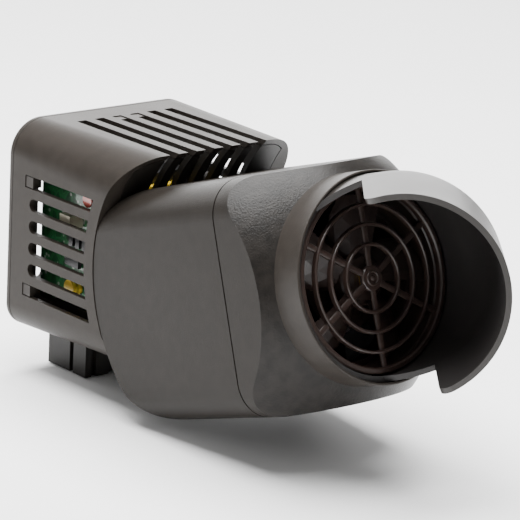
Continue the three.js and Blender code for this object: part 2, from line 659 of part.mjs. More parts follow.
// One blade lofted from root to tip: pitch, chord and thickness change with the radius.
function propellerBlade() {
  const stations = 5;
  const around = 8;
  const [root, tip] = [7.5, 28.8];
  const rows = [];
  for (let s = 0; s < stations; s += 1) {
    const t = s / (stations - 1);
    const radius = root + (tip - root) * t;
    const pitch = deg(52 - 27 * t);
    const chord = 10.5 + 9 * Math.sin(Math.PI * (0.15 + 0.62 * t));
    const thickness = 2.6 - 1.3 * t;
    const sweep = deg(14) * t * t;
    for (let k = 0; k < around; k += 1) {
      const a = (2 * Math.PI * k) / around;
      const along = (chord / 2) * Math.cos(a);
      const across = (thickness / 2) * Math.sin(a) + (1 - Math.cos(a) ** 2) * 0.9;
      const sideways = along * Math.cos(pitch) - across * Math.sin(pitch);
      const rise = along * Math.sin(pitch) * 0.62 + across * Math.cos(pitch);
      const forward = Math.max(-4.6, Math.min(4.6, rise));
      const turn = sweep + sideways / radius;
      rows.push(radius * Math.sin(turn), radius * Math.cos(turn), 39 + forward);
    }
  }
  const index = [];
  for (let s = 0; s < stations - 1; s += 1) {
    for (let k = 0; k < around; k += 1) {
      const [a, b] = [s * around + k, s * around + ((k + 1) % around)];
      index.push(a, b, b + around, a, b + around, a + around);
    }
  }
  const last = (stations - 1) * around;
  for (let k = 1; k < around - 1; k += 1) index.push(0, k + 1, k, last, last + k, last + k + 1);
  const blade = new THREE.BufferGeometry();
  blade.setAttribute('position', new THREE.Float32BufferAttribute(rows, 3));
  blade.setIndex(index);
  return solid(blade);
}

function propeller() {
  const hub = turned([[0, 34], [9, 34], [9, 41.5], [7.4, 43.4], [5, 43.9], [0, 43.9]], 28);
  const bore = bar('z', 2.3, 30, 50, 0, 0, 20);
  return unite([hub, ...aroundZ(propellerBlade(), 5)]).subtract(bore);
}

function propellerNut() {
  return bar('z', 3.7, 44.2, 45.8, 0, 0, 6).subtract(bar('z', 2.3, 44, 46, 0, 0, 20));
}

// ---------- discharge hood ----------
// Drawn with Z forward along the nozzle axis and X towards the hood's tall side. A ring inside the
// collar carries half a tube, which bends towards -X about the middle of the ring's front end.
function halfElbow() {
  const { outer, inner, ballCentre, bend, reach } = HOOD;
  const around = ROUND / 2;
  const bendSteps = 6;
  const outline = [];
  for (let i = 0; i <= around; i += 1) outline.push([outer, -90 + (180 * i) / around]);
  for (let i = around; i >= 0; i -= 1) outline.push([inner, -90 + (180 * i) / around]);
  const bendAt = (k) => ({ turn: (bend * k) / bendSteps, along: 0 });
  const sections = Array.from({ length: bendSteps + 1 }, (_, k) => bendAt(k));
  sections.push({ turn: bend, along: reach });
  const points = sections.flatMap(({ turn, along }) => outline.flatMap(([radius, angle]) => {
    const local = new THREE.Vector3(radius * Math.cos(deg(angle)), radius * Math.sin(deg(angle)), along);
    local.applyAxisAngle(new THREE.Vector3(0, 1, 0), -deg(turn));
    return [local.x, local.y, local.z + ballCentre];
  }));
  const count = outline.length;
  const faces = [];
  for (let k = 0; k < sections.length - 1; k += 1) {
    for (let i = 0; i < count; i += 1) {
      const [a, b] = [k * count + i, k * count + ((i + 1) % count)];
      faces.push(a, b, b + count, a, b + count, a + count);
    }
  }
  const last = (sections.length - 1) * count;
  for (let i = 0; i < around; i += 1) {
    const [a, b, c, d] = [i, i + 1, count - 2 - i, count - 1 - i];
    faces.push(a, c, b, a, d, c);
    faces.push(last + a, last + b, last + c, last + a, last + c, last + d);
  }
  const shell = new THREE.BufferGeometry();
  shell.setAttribute('position', new THREE.Float32BufferAttribute(points, 3));
  shell.setIndex(faces);
  return solid(shell);
}

function dischargeHood() {
  const { outer, inner, rear, bend, reach, ballCentre } = HOOD;
  const cornerRadius = 4.6;
  const ring = tube(inner, outer, rear, ballCentre, ROUND);
  const ramp = box(-120, 0, -60, 60, 0, 120).rotate([0, -bend, 0]).translate([0, 0, ballCentre]);
  const aboveRing = box(-120, 120, -120, 120, 49.6, 200);
  const corner = box(-1, cornerRadius, -60, 60, reach - cornerRadius, reach + 1)
    .subtract(bar('y', cornerRadius, -61, 61, cornerRadius, reach - cornerRadius, 32));
  const roundedOff = corner.rotate([0, -bend, 0]).translate([0, 0, ballCentre]);
  const legRing = tube(31.9, inner + 0.1, 36.4, 44, ROUND).add(tube(32.5, 34.4, 36.4, 38.1, ROUND));
  const legs = legRing.intersect(unite(aroundZ(box(-4, 4, 0, 60, 30, 50), 3, 30)));
  const openRing = ring.subtract(ramp.intersect(aboveRing));
  return unite([openRing, halfElbow(), legs]).subtract(roundedOff);
}

// ---------- assembly ----------
function addPiece(parent, name, body, material) {
  const { vertProperties, triVerts } = body.getMesh();
  const geometry = new THREE.BufferGeometry();
  geometry.setAttribute('position', new THREE.BufferAttribute(new Float32Array(vertProperties), 3));
  geometry.setIndex(new THREE.BufferAttribute(new Uint32Array(triVerts), 1));
  const mesh = new THREE.Mesh(geometry, material);
  mesh.name = name;
  parent.add(mesh);
}

function buildHousing(housing) {
  addPiece(housing, 'vented_housing', ventedHousing(), plastic(SHELL_GREY));
  addPiece(housing, 'scoop_panel', scoopPanel(), plastic(0x3c3936));
  addPiece(housing, 'rear_cover', rearCover(), plastic(0x6b6865));
  addPiece(housing, 'dock_connector', dockConnector(), plastic(0x3f3b38));
  contactXs().forEach((x, i) => {
    addPiece(housing, `contact_blade_${i + 1}`, contactBlade(x), metal(0xc9a24a));
  });
  dockScrewPlaces().forEach((place, i) => {
    addPiece(housing, `dock_screw_${i + 1}`, dockScrew(place), metal(0xa8a8a4));
  });
  addPiece(housing, 'tilt_bracket', tiltBracket(), metal(0x8c8f90));
  bracketScrewPlaces().forEach((place, i) => {
    addPiece(housing, `bracket_screw_${i + 1}`, bracketScrew(place), metal(0xb0b0ac));
  });
  addPiece(housing, 'tilt_axle', tiltAxle(), metal(0xb4b4b0));
  addPiece(housing, 'axle_nut', axleNut(), metal(0xb4b4b0));
  addPiece(housing, 'friction_washer_left', frictionWasher(-1), plastic(0xd8cfae, 0.6));
  addPiece(housing, 'friction_washer_right', frictionWasher(1), plastic(0xd8cfae, 0.6));
}

function buildElectronics(housing) {
  addPiece(housing, 'control_board', controlBoard(), plastic(0x2f6a3c));
  addPiece(housing, 'board_guide_upper', boardGuide(-12, 2), plastic(0x2b2b2b));
  addPiece(housing, 'board_guide_lower', boardGuide(-BOX.height - 2, -63.5), plastic(0x2b2b2b));
  addPiece(housing, 'transformer_core', transformer(), plastic(0x2c2a2a, 0.7));
  addPiece(housing, 'transformer_winding', transformerTape(), plastic(0xd9b93a, 0.4));
  addPiece(housing, 'bulk_capacitor_upper', bulkCapacitor(40.5, -42.6), plastic(0x1f2b4a, 0.35));
  addPiece(housing, 'bulk_capacitor_lower', bulkCapacitor(40.5, -55), plastic(0x1f2b4a, 0.35));
  addPiece(housing, 'filter_choke', filterChoke(), metal(0xa5622c, 0.45));
  addPiece(housing, 'heat_sink', heatSink(), metal(0xb9bcbc, 0.4));
  addPiece(housing, 'power_transistor_front', powerTransistor(25), plastic(0x202020, 0.4));
  addPiece(housing, 'power_transistor_rear', powerTransistor(38), plastic(0x202020, 0.4));
  addPiece(housing, 'film_capacitor', filmCapacitor(), plastic(0xd9d3c0, 0.5));
  addPiece(housing, 'disc_capacitor', discCapacitor(), plastic(0xd0a828, 0.4));
  addPiece(housing, 'varistor', varistor(), plastic(0xb5423c, 0.4));
  addPiece(housing, 'resistor_network', resistorNetwork(), plastic(0x252525, 0.5));
  addPiece(housing, 'driver_chip', driverChip(), plastic(0x18181a, 0.4));
  addPiece(housing, 'board_header', boardHeader(), plastic(0xe6e2d6, 0.45));
  addPiece(housing, 'motor_leads', motorLeads(), plastic(0x202020, 0.6));
}

function buildHead(head) {
  addPiece(head, 'head_shell', headShell(), plastic(SHELL_GREY));
  addPiece(head, 'front_cover', frontCover(), plastic(0x5b5754));
  addPiece(head, 'cover_gasket', coverGasket(), plastic(0x141414, 0.8));
  coverPostPlaces().forEach((place, i) => {
    addPiece(head, `cover_screw_${i + 1}`, coverScrew(place), metal(0xb0b0ac));
  });
  addPiece(head, 'flow_duct', flowDuct(), plastic(INNER_BLACK));
  addPiece(head, 'guard_grille', guardGrille(), plastic(INNER_BLACK, 0.4));
  addPiece(head, 'motor_mount', motorMount(), plastic(0x231b19));
  motorScrewPlaces().forEach((place, i) => {
    addPiece(head, `motor_screw_${i + 1}`, motorScrew(place), metal(0xb0b0ac));
  });
  addPiece(head, 'motor_can', motorCan(), metal(0x9a9c9c));
  addPiece(head, 'stator_core', statorCore(), metal(0x6d6f72, 0.5));
  addPiece(head, 'stator_windings', statorWindings(), metal(0xb0642a, 0.4));
  addPiece(head, 'rear_bearing', bearing(12.3, 15.7), metal(0xc4c6c8, 0.25));
  addPiece(head, 'front_bearing', bearing(28.6, 32.2), metal(0xc4c6c8, 0.25));
}

function buildRotor(head) {
  addPiece(head, 'rotor_shaft', rotorShaft(), metal(0xd0d2d2, 0.2));
  addPiece(head, 'rotor_magnet', rotorMagnet(), metal(0x3a3a3c, 0.4));
  addPiece(head, 'propeller', propeller(), plastic(0x2a1f1d, 0.4));
  addPiece(head, 'propeller_nut', propellerNut(), metal(0xc0b070, 0.35));
}

function buildPump() {
  const pump = new THREE.Group();
  pump.position.copy(ORIGIN_SHIFT);
  buildHousing(pump);
  buildElectronics(pump);
  const head = new THREE.Group();
  head.position.set(0, PIVOT.y, PIVOT.z);
  head.rotation.x = deg(90 - REST_TILT);
  pump.add(head);
  buildHead(head);
  buildRotor(head);
  const hood = new THREE.Group();
  hood.rotation.z = deg(HOOD.clock);
  head.add(hood);
  addPiece(hood, 'discharge_hood', dischargeHood(), plastic(0x66625f));
  return pump;
}

const group = new THREE.Group();
group.add(buildPump());
export default group;
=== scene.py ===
"""Looks for the wave maker pump: smooth moulded shells, a rounded guard and hood, procedural
materials, and a plain white studio."""

import json
import math

import bmesh
import bpy
from mathutils import Matrix, Vector


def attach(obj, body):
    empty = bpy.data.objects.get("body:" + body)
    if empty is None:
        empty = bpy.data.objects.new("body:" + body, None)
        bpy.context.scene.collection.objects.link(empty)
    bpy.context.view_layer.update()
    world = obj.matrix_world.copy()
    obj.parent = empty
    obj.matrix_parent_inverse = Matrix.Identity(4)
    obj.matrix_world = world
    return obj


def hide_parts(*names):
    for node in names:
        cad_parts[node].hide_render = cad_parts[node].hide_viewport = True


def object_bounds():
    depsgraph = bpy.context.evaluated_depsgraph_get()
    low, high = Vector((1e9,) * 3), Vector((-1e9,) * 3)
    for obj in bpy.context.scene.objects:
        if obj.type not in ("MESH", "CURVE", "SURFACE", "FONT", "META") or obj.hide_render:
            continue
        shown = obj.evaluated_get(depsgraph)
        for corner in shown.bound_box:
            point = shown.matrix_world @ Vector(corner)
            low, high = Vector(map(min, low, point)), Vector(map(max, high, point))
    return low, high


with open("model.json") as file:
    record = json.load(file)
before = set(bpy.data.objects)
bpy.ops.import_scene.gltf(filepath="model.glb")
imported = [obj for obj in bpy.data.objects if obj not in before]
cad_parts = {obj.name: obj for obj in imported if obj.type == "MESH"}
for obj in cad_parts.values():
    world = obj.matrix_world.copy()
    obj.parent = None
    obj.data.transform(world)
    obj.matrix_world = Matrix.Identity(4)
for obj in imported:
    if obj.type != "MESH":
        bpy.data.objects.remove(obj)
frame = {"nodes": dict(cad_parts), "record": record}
cad_box = [list(corner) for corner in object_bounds()]

# ---------- driving dimensions, in millimetres, the same as the CAD part's ----------
MM = 0.001
GAP = 0.3
WALL = 2.2
HALF_WIDTH = 40.8
BOX_REAR, BOX_TOP, BOX_HEIGHT, TOP_RADIUS, BOTTOM_RADIUS = 68.5, 0.7, 76, 16.5, 12
FLARE_SIDE, FLARE_BOTTOM, FLARE_TOP_RADIUS, FLARE_BOTTOM_RADIUS = 1, 2, -3.5, -2.5
COVER_DEPTH, COVER_SOFTNESS, SKIRT_DEPTH = 3.2, 1.6, 1.6
SCOOP_RADIUS, SCOOP_WALL, SCOOP_HALF_WIDTH = 56, 2.4, 34
PIVOT_Y, PIVOT_Z = -39.2, -40
REST_TILT = 18
VENT_COUNT, VENT_PITCH, VENT_WIDTH, VENT_REAR = 6, 8, 4, 54.3
LOUVRE_COUNT, LOUVRE_PITCH, LOUVRE_HEIGHT = 6, 8.17, 4.67
REAR_VENT_COUNT, REAR_VENT_TOP, REAR_VENT_BOTTOM = 8, -17, -61
LOUVRE_FIRST_Z, LOUVRE_REAR, LOUVRE_FRONT_RADIUS = -19.9, 55, 61.2
LATCH_FRONT, LATCH_REAR, LATCH_HALF = 53.4, 57.9, 2
HEAD_TOP, HEAD_BOTTOM, HEAD_CORNER, HEAD_REAR = 40, -41.9, 13.6, 55.6
TOP_BLEND, BOTTOM_BLEND = 21, 25
POST_X, POST_TOP, POST_BOTTOM, POST_RADIUS = 33, 32.4, -34.5, 3.4
SCREW_BORE, SCREW_WELL, AXLE_BORE = 1.5, 2.9, 3.3
INTAKE_XS, INTAKE_WIDTH, INTAKE_ARC = (17.5, 24, 30.5), 3.4, 21
SEAM, SEAM_LIP, SEAM_STEP = 18.3, 0.8, 1.5
DOME_RADIUS, DOME_CENTRE = 63.5, -12
COLLAR_OUTER, COLLAR_INNER, COLLAR_FRONT = 36.3, 35.3, 52.4
DUCT_OUTER, DUCT_INNER, DUCT_REAR, DUCT_FRONT = 31.4, 29.9, 21, 46
GUARD_REAR, GUARD_FRONT, GUARD_OUTER, GUARD_HUB = 46.3, 48.8, 32.4, 4.4
GUARD_RINGS, RING_HALF, SPOKE_HALF = (11.5, 18.3, 25), 0.6, 1.1
HOOD_OUTER, HOOD_INNER, HOOD_REAR, BALL_CENTRE = 35, 33, 41, 61.4
HOOD_BEND, HOOD_REACH, HOOD_CLOCK = 42.4, 30.7, 17
DOCK_HALF_WIDTH, DOCK_FRONT, DOCK_REAR, DOCK_BOTTOM = 22.4, 43.4, 66.6, -94.7

# Housing pieces are drawn from the middle of the box's front lip, just under its top: Y runs to
# the rear and Z up. Head pieces are drawn from the tilt axle: X as in the housing, Y up, Z forward
# along the nozzle's axis. Hood pieces are drawn as head pieces, turned about that axis.
HOUSING = Matrix.Translation((0, -(DOCK_FRONT + DOCK_REAR) / 2, -DOCK_BOTTOM))
HEAD = (HOUSING @ Matrix.Translation((0, PIVOT_Y, PIVOT_Z))
        @ Matrix.Rotation(math.radians(90 - REST_TILT), 4, "X"))
HOOD = HEAD @ Matrix.Rotation(math.radians(HOOD_CLOCK), 4, "Z")


# ---------- camera ----------
VIEW_AZIMUTH, VIEW_ELEVATION, VIEW_ROLL = -40.675, 16.494, 3.079
VIEW_FROM, VIEW_LENS = (-0.63456, -0.81956, 0.34878), 200.11


def aim_camera():
    """The picture's viewing angle: a long lens, level apart from a slight roll."""
    azimuth, elevation, roll = map(math.radians, (VIEW_AZIMUTH, VIEW_ELEVATION, VIEW_ROLL))
    back = Vector((math.sin(azimuth) * math.cos(elevation),
                   -math.cos(azimuth) * math.cos(elevation), math.sin(elevation)))
    right = Vector((math.cos(azimuth), math.sin(azimuth), 0))
    up = back.cross(right)
    camera_x = math.cos(roll) * right + math.sin(roll) * up
    camera_y = math.cos(roll) * up - math.sin(roll) * right
    data = bpy.data.cameras.new("camera")
    data.sensor_width = 36
    data.lens = VIEW_LENS
    data.clip_end = 50
    camera = bpy.data.objects.new("camera", data)
    bpy.context.scene.collection.objects.link(camera)
    axes = Matrix((camera_x, camera_y, back)).transposed().to_4x4()
    camera.matrix_world = Matrix.Translation(VIEW_FROM) @ axes
    bpy.context.scene.camera = camera


aim_camera()


# ---------- mesh helpers ----------
def mesh_from(verts, faces, name="piece"):
    mesh = bpy.data.meshes.new(name)
    mesh.from_pydata([Vector(v) for v in verts], [], faces)
    work = bmesh.new()
    work.from_mesh(mesh)
    bmesh.ops.remove_doubles(work, verts=work.verts, dist=1e-4)
    bmesh.ops.dissolve_degenerate(work, edges=work.edges, dist=1e-4)
    bmesh.ops.recalc_face_normals(work, faces=work.faces)
    work.to_mesh(mesh)
    work.free()
    obj = bpy.data.objects.new(name, mesh)
    bpy.context.scene.collection.objects.link(obj)
    return obj


def prism(outline, axis, start, end):
    """A closed prism of a 2-D outline: z takes (x, y), y takes (x, z), x takes (y, z)."""
    point = {"z": lambda u, v, w: (u, v, w),
             "y": lambda u, v, w: (u, w, v),
             "x": lambda u, v, w: (w, u, v)}[axis]
    count = len(outline)
    verts = [point(u, v, w) for w in (start, end) for u, v in outline]
    sides = [(i, (i + 1) % count, count + (i + 1) % count, count + i) for i in range(count)]
    caps = [tuple(range(count))[::-1], tuple(range(count, 2 * count))]
    return mesh_from(verts, sides + caps)


def box(x0, x1, y0, y1, z0, z1):
    return prism([(x0, y0), (x1, y0), (x1, y1), (x0, y1)], "z", z0, z1)


def arc(cx, cy, radius, start, end, steps):
    angles = [math.radians(start + (end - start) * i / steps) for i in range(steps + 1)]
    return [(cx + radius * math.cos(a), cy + radius * math.sin(a)) for a in angles]


def half_oval(cx, cy, half_width, height):
    """The upper half of an oval, from right to left."""
    angles = [math.radians(a) for a in range(0, 181, 30)]
    return [(cx + half_width * math.cos(a), cy + height * math.sin(a)) for a in angles]


def bar(axis, radius, start, end, u=0.0, v=0.0, segments=48):
    return prism(arc(u, v, radius, 0, 360, segments)[:-1], axis, start, end)


def lathe(profile, segments=160):
    """A ring or disc about Z from [radius, z] points, given in order round the section."""
    rows = len(profile)
    verts = []
    for k in range(segments):
        a = 2 * math.pi * k / segments
        verts += [(r * math.cos(a), r * math.sin(a), z) for r, z in profile]
    faces = []
    for k in range(segments):
        here, there = k * rows, ((k + 1) % segments) * rows
        faces += [(here + i, here + (i + 1) % rows, there + (i + 1) % rows, there + i)
                  for i in range(rows)]
    return mesh_from(verts, faces)


def tube(inner, outer, z0, z1, segments=160):
    return lathe([(inner, z0), (outer, z0), (outer, z1), (inner, z1)], segments)


def baked(obj):
    """The object's mesh with its modifiers applied."""
    graph = bpy.context.evaluated_depsgraph_get()
    mesh = bpy.data.meshes.new_from_object(obj.evaluated_get(graph))
    obj.modifiers.clear()
    obj.data = mesh
    return obj


def combined(body, tools, operation):
    for tool in tools:
        step = body.modifiers.new("step", "BOOLEAN")
        step.solver = "MANIFOLD"
        step.operation = operation
        step.object = tool
    baked(body)
    for tool in tools:
        bpy.data.objects.remove(tool)
    return body


def cut(body, *tools):
    return combined(body, tools, "DIFFERENCE")


def join(body, *others):
    return combined(body, others, "UNION")


def keep(body, *limits):
    return combined(body, limits, "INTERSECT")


def turned(obj, degrees, axis, offset=(0, 0, 0)):
    turn = Matrix.Rotation(math.radians(degrees), 4, axis)
    obj.data.transform(Matrix.Translation(offset) @ turn)
    return obj


def copy_of(obj):
    twin = bpy.data.objects.new(obj.name, obj.data.copy())
    bpy.context.scene.collection.objects.link(twin)
    return twin


def around(obj, count, start=0):
    return [turned(copy_of(obj), start + 360 * i / count, "Z") for i in range(count)]


def finished(obj, name, place, body, nodes, material, rounding, sharp=30):
    """Puts a drawn solid in the shared frame with rounded edges, standing for its CAD nodes."""
    obj.name = name
    obj.data.transform(Matrix.Scale(MM, 4) @ place)
    work = bmesh.new()
    work.from_mesh(obj.data)
    bmesh.ops.remove_doubles(work, verts=work.verts, dist=2e-6)
    bmesh.ops.dissolve_limit(work, angle_limit=math.radians(0.4), verts=work.verts,
                             edges=work.edges)
    work.to_mesh(obj.data)
    work.free()
    if rounding:
        bevel = obj.modifiers.new("rounding", "BEVEL")
        bevel.width = rounding * MM
        bevel.segments = 2
        bevel.limit_method = "ANGLE"
        bevel.angle_limit = math.radians(sharp)
        bevel.use_clamp_overlap = True
        bevel.miter_outer = "MITER_ARC"
        baked(obj)
    obj.data.shade_smooth()
    obj.data.set_sharp_from_angle(angle=math.radians(sharp))
    even = obj.modifiers.new("even", "WEIGHTED_NORMAL")
    even.keep_sharp = True
    obj.data.materials.clear()
    obj.data.materials.append(material)
    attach(obj, body)
    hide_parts(*nodes)
    return obj


# ---------- materials ----------
class Nodes:
    """A material's node tree with short calls for the nodes that these materials use."""

    def __init__(self, name, rough, metal=0.0, coat=0.0):
        self.material = bpy.data.materials.new(name)
        self.material.use_nodes = True
        self.tree = self.material.node_tree
        self.shader = self.tree.nodes["Principled BSDF"]
        self.shader.inputs["Metallic"].default_value = metal
        self.shader.inputs["Roughness"].default_value = rough
        self.shader.inputs["Coat Weight"].default_value = coat
        self.coords = self.tree.nodes.new("ShaderNodeTexCoord").outputs["Object"]

    def link(self, out, socket):
        self.tree.links.new(out, socket)

    def stretched(self, scale):
        mapping = self.tree.nodes.new("ShaderNodeMapping")
        mapping.inputs["Scale"].default_value = scale
        self.link(self.coords, mapping.inputs["Vector"])
        return mapping.outputs["Vector"]

    def noise(self, scale, detail=3.0, vector=None):
        node = self.tree.nodes.new("ShaderNodeTexNoise")
        node.inputs["Scale"].default_value = scale
        node.inputs["Detail"].default_value = detail
        self.link(vector or self.coords, node.inputs["Vector"])
        return node.outputs["Fac"]

    def ramp(self, value, stops):
        """Colours by value, from [place, colour] stops in rising order."""
        node = self.tree.nodes.new("ShaderNodeValToRGB")
        elements = node.color_ramp.elements
        for place, _ in stops[2:]:
            elements.new(place)
        for element, (place, color) in zip(elements, stops):
            element.position = place
            element.color = (*color, 1)
        self.link(value, node.inputs["Fac"])
        return node.outputs["Color"]

    def spread(self, value, low, high):
        """A noise value brought from its usual middle range to low and high."""
        node = self.tree.nodes.new("ShaderNodeMapRange")
        node.inputs["From Min"].default_value = 0.25
        node.inputs["From Max"].default_value = 0.75
        node.inputs["To Min"].default_value = low
        node.inputs["To Max"].default_value = high
        self.link(value, node.inputs["Value"])
        return node.outputs["Result"]

    def bump(self, heights, depth):
        """Relief of the given depth in metres, from [height, strength] pairs on one another."""
        normal = None
        for height, share in heights:
            node = self.tree.nodes.new("ShaderNodeBump")
            node.inputs["Strength"].default_value = share
            node.inputs["Distance"].default_value = depth
            self.link(height, node.inputs["Height"])
            if normal:
                self.link(normal, node.inputs["Normal"])
            normal = node.outputs["Normal"]
        self.link(normal, self.shader.inputs["Normal"])


def shades(color, spread):
    return [tuple(c * (1 - spread) for c in color), tuple(min(1, c * (1 + spread)) for c in color)]


def moulded(name, color, rough=0.5, grain=0.35, spread=0.08, coat=0.0, gloss=0.5, pits=2600):
    """Spark-eroded moulded plastic: fine grain, slight mottle, patches a little glossier."""
    m = Nodes(name, rough, coat=coat)
    m.shader.inputs["Specular IOR Level"].default_value = gloss
    dark, light = shades(color, spread)
    mottle = m.ramp(m.noise(260, 6), [(0.36, dark), (0.64, light)])
    m.link(mottle, m.shader.inputs["Base Color"])
    m.link(m.spread(m.noise(38, 4), rough - 0.03, rough + 0.03), m.shader.inputs["Roughness"])
    m.bump([(m.noise(pits, 2), grain), (m.noise(420, 3), grain * 0.35)], 0.00012)
    return m.material


def plated(name, color, rough=0.3, direction=(1, 1, 12)):
    """Turned or drawn metal with fine lines along one direction and a few dull spots."""
    m = Nodes(name, rough, metal=1.0)
    lines = m.noise(900, 4, m.stretched(direction))
    dark, light = shades(color, 0.12)
    m.link(m.ramp(lines, [(0.3, dark), (0.7, light)]), m.shader.inputs["Base Color"])
    m.link(m.spread(m.noise(240, 3), rough - 0.08, rough + 0.12), m.shader.inputs["Roughness"])
    m.bump([(lines, 0.25)], 0.0001)
    return m.material


def wound(name, color, turns, axis, rough=0.35, metal=0.6):
    """Side by side turns of enamelled wire or tape, as fine ridges."""
    m = Nodes(name, rough, metal=metal, coat=0.5)
    wave = m.tree.nodes.new("ShaderNodeTexWave")
    wave.bands_direction = axis
    wave.inputs["Scale"].default_value = turns
    wave.inputs["Distortion"].default_value = 0.6
    wave.inputs["Detail"].default_value = 1
    m.link(m.coords, wave.inputs["Vector"])
    dark, light = shades(color, 0.3)
    m.link(m.ramp(wave.outputs["Fac"], [(0.1, dark), (0.7, light)]), m.shader.inputs["Base Color"])
    m.bump([(wave.outputs["Fac"], 0.6)], 0.0002)
    return m.material


def circuit_board(name):
    """Solder mask over tracks: lighter bands where copper lies under the mask, and tinned pads."""
    m = Nodes(name, 0.32, coat=0.6)
    cells = m.tree.nodes.new("ShaderNodeTexVoronoi")
    cells.feature = "DISTANCE_TO_EDGE"
    cells.inputs["Scale"].default_value = 260
    m.link(m.stretched((1, 1, 0.6)), cells.inputs["Vector"])
    tracks = m.ramp(cells.outputs["Distance"], [
        (0.0, (0.008, 0.055, 0.018)), (0.1, (0.016, 0.11, 0.035)), (0.14, (0.005, 0.038, 0.012))])
    pads = m.tree.nodes.new("ShaderNodeTexVoronoi")
    pads.inputs["Scale"].default_value = 330
    m.link(m.coords, pads.inputs["Vector"])
    tin = m.ramp(pads.outputs["Distance"], [(0.2, (1, 1, 1)), (0.24, (0, 0, 0))])
    mix = m.tree.nodes.new("ShaderNodeMix")
    mix.data_type = "RGBA"
    mix.inputs["B"].default_value = (0.25, 0.25, 0.23, 1)
    m.link(tin, mix.inputs["Factor"])
    m.link(tracks, mix.inputs["A"])
    m.link(mix.outputs["Result"], m.shader.inputs["Base Color"])
    m.bump([(cells.outputs["Distance"], 0.3)], 0.0001)
    return m.material


def sleeved(name, color, band):
    """Shrink sleeve on a capacitor: glossy, with the pale polarity stripe down one side."""
    m = Nodes(name, 0.22, coat=0.4)
    wave = m.tree.nodes.new("ShaderNodeTexWave")
    wave.bands_direction = "Z"
    wave.inputs["Scale"].default_value = 26
    wave.inputs["Distortion"].default_value = 0.4
    m.link(m.coords, wave.inputs["Vector"])
    stripe = m.ramp(wave.outputs["Fac"], [(0.0, color), (0.9, color), (0.93, band)])
    m.link(stripe, m.shader.inputs["Base Color"])
    m.link(m.spread(m.noise(160, 3), 0.16, 0.3), m.shader.inputs["Roughness"])
    m.bump([(m.noise(300, 2), 0.15)], 0.0002)
    return m.material


LOOKS = {
    "housing": moulded("housing_plastic", (0.0215, 0.0178, 0.0148), 0.40, gloss=0.12),
    "head": moulded("head_plastic", (0.0145, 0.0122, 0.0102), 0.38, 0.6, gloss=0.10),
    # coarser grain for the dome, and a darker colour that is painted shade on its forward-facing
    # face
    "etched_shaded": moulded("etched_shaded_plastic", (0.0115, 0.0099, 0.0086), 0.34, 0.8, 0.3, gloss=0.18,
                      pits=1500),
    "cover": moulded("cover_plastic", (0.0250, 0.0212, 0.0182), 0.40, gloss=0.14),
    "hood": moulded("hood_plastic", (0.0180, 0.0152, 0.0132), 0.36, gloss=0.43),
    # painted shade: near black for the hood's inner wall and ring ends, which are the same plastic
    # as its outside
    "inside": moulded("hood_inside", (0.010, 0.008, 0.0075), 0.55),
    "dark": moulded("dark_plastic", (0.010, 0.0085, 0.0070), 0.5, gloss=0.25),
    "interior": moulded("interior_plastic", (0.026, 0.016, 0.013), 0.36, 0.25),
    "rubber": moulded("gasket_rubber", (0.006, 0.006, 0.006), 0.75, 0.5),
    "ivory": moulded("washer_plastic", (0.42, 0.38, 0.28), 0.45),
    "black": moulded("component_black", (0.010, 0.010, 0.011), 0.35, 0.2),
    # painted shade: the motor can is coloured near black, standing in for the dark space behind
    # the guard
    "shaded_can": moulded("can_enamel", (0.012, 0.009, 0.008), 0.4, 0.2),
    "red": moulded("varistor_red", (0.38, 0.07, 0.05), 0.25, 0.1, coat=0.5),
    "steel": plated("bracket_steel", (0.52, 0.53, 0.54), 0.32),
    "screw": plated("screw_steel", (0.60, 0.60, 0.58), 0.28, (1, 12, 1)),
    "motor": plated("motor_steel", (0.42, 0.42, 0.42), 0.3, (1, 10, 1)),
    "brass": plated("contact_brass", (0.72, 0.52, 0.20), 0.28),
    "aluminium": plated("heat_sink_aluminium", (0.70, 0.71, 0.71), 0.36, (1, 14, 1)),
    "copper": wound("winding_copper", (0.60, 0.25, 0.09), 420, "Z"),
    "yellow": wound("tape_yellow", (0.75, 0.50, 0.04), 140, "X", 0.3, 0.0),
    "board": circuit_board("board_green"),
    "sleeve": sleeved("capacitor_sleeve", (0.012, 0.02, 0.07), (0.5, 0.52, 0.5)),
}
SLOT_LOOKS = {
    "housing_plastic": "housing", "cover_plastic": "cover", "dark_plastic": "dark",
    "interior_plastic": "interior", "gasket_rubber": "rubber", "washer_plastic": "ivory",
    "bracket_steel": "steel", "screw_steel": "screw", "contact_brass": "brass",
    "board_green": "board", "component_black": "black", "tape_yellow": "yellow",
    "capacitor_sleeve": "sleeve", "varistor_red": "red", "winding_copper": "copper",
    # can_enamel is the motor can's slot; its near-black colour is painted shade
    "heat_sink_aluminium": "aluminium", "motor_steel": "motor", "can_enamel": "shaded_can",
}
for part in frame["record"]["subparts"]:
    node = frame["nodes"][part["node"]]
    node.data.materials.clear()
    node.data.materials.append(LOOKS[SLOT_LOOKS[part["material_slot"]]])


# ---------- housing ----------
def rounded_section(left, right, bottom, top, bottom_radius, top_radius, steps=24):
    return (arc(right - bottom_radius, bottom + bottom_radius, bottom_radius, -90, 0, steps)
            + arc(right - top_radius, top - top_radius, top_radius, 0, 90, steps)
            + arc(left + top_radius, top - top_radius, top_radius, 90, 180, steps)
            + arc(left + bottom_radius, bottom + bottom_radius, bottom_radius, 180, 270, steps))


def box_section(inset, y):
    """The housing's outline at y: it widens from its front lip to its rear face."""
    t = y / BOX_REAR
    half = HALF_WIDTH + FLARE_SIDE * t - inset
    bottom = inset - BOX_HEIGHT - FLARE_BOTTOM * t
    return rounded_section(-half, half, bottom, BOX_TOP - inset,
                           BOTTOM_RADIUS + FLARE_BOTTOM_RADIUS * t - inset,
                           TOP_RADIUS + FLARE_TOP_RADIUS * t - inset)


